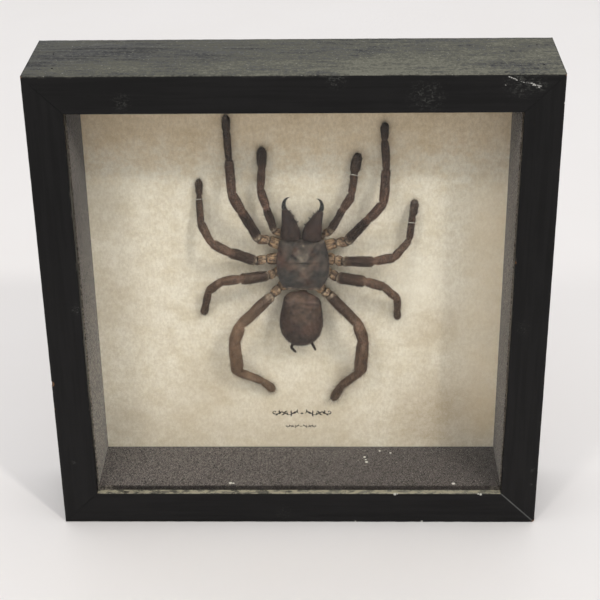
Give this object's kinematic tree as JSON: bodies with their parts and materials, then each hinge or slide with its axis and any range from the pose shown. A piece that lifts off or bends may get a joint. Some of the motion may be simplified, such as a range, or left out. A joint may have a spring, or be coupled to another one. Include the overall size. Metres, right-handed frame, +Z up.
{
  "type": "framed tarantula specimen",
  "caption": "Dried tarantula spread on a parchment sheet behind glass, in a deep square black wooden box frame with flock-lined inner walls.",
  "frame": {"origin": "middle of the frame's bottom face, half way through its depth", "axes": "+Z up, -Y out of the glass towards the viewer, +Y to the wall, +X to the viewer's right"},
  "size_m": [0.25, 0.053, 0.25],
  "materials": {
    "painted_wood": "satin black paint, worn at the edges, dusty on top",
    "glass": "clear float glass",
    "flock": "dark grey flocked strip, dusty",
    "parchment": "mottled cream parchment paper, matte",
    "hardboard": "bare brown hardboard",
    "steel": "dull zinc-plated sheet steel",
    "carapace": "dry grey-brown cuticle with short down",
    "spider_hair": "brown velvety hair, tan skin at the joints",
    "fang": "glossy black horn",
    "thread": "clear thin thread"
  },
  "bodies": {
    "root": {"abdomen": "spider_hair", "back_board": "hardboard", "cephalothorax": "carapace", "chelicera_left": "spider_hair", "chelicera_right": "spider_hair", "fang_left": "fang", "fang_right": "fang", "glass_pane": "glass", "hanger": "steel", "leg_left_1": "spider_hair", "leg_left_2": "spider_hair", "leg_left_3": "spider_hair", "leg_left_4": "spider_hair", "leg_right_1": "spider_hair", "leg_right_2": "spider_hair", "leg_right_3": "spider_hair", "leg_right_4": "spider_hair", "liner_bottom": "flock", "liner_left": "flock", "liner_right": "flock", "liner_top": "flock", "palp_left": "spider_hair", "palp_right": "spider_hair", "parchment_sheet": "parchment", "point_bottom_1": "steel", "point_bottom_2": "steel", "point_left_1": "steel", "point_left_2": "steel", "point_right_1": "steel", "point_right_2": "steel", "point_top_1": "steel", "point_top_2": "steel", "rail_bottom": "painted_wood", "rail_left": "painted_wood", "rail_right": "painted_wood", "rail_top": "painted_wood", "rivet_left": "steel", "rivet_right": "steel", "tie_leg_left_2": "thread", "tie_leg_right_2": "thread", "tie_palp_right": "thread"}
  },
  "joints": []
}
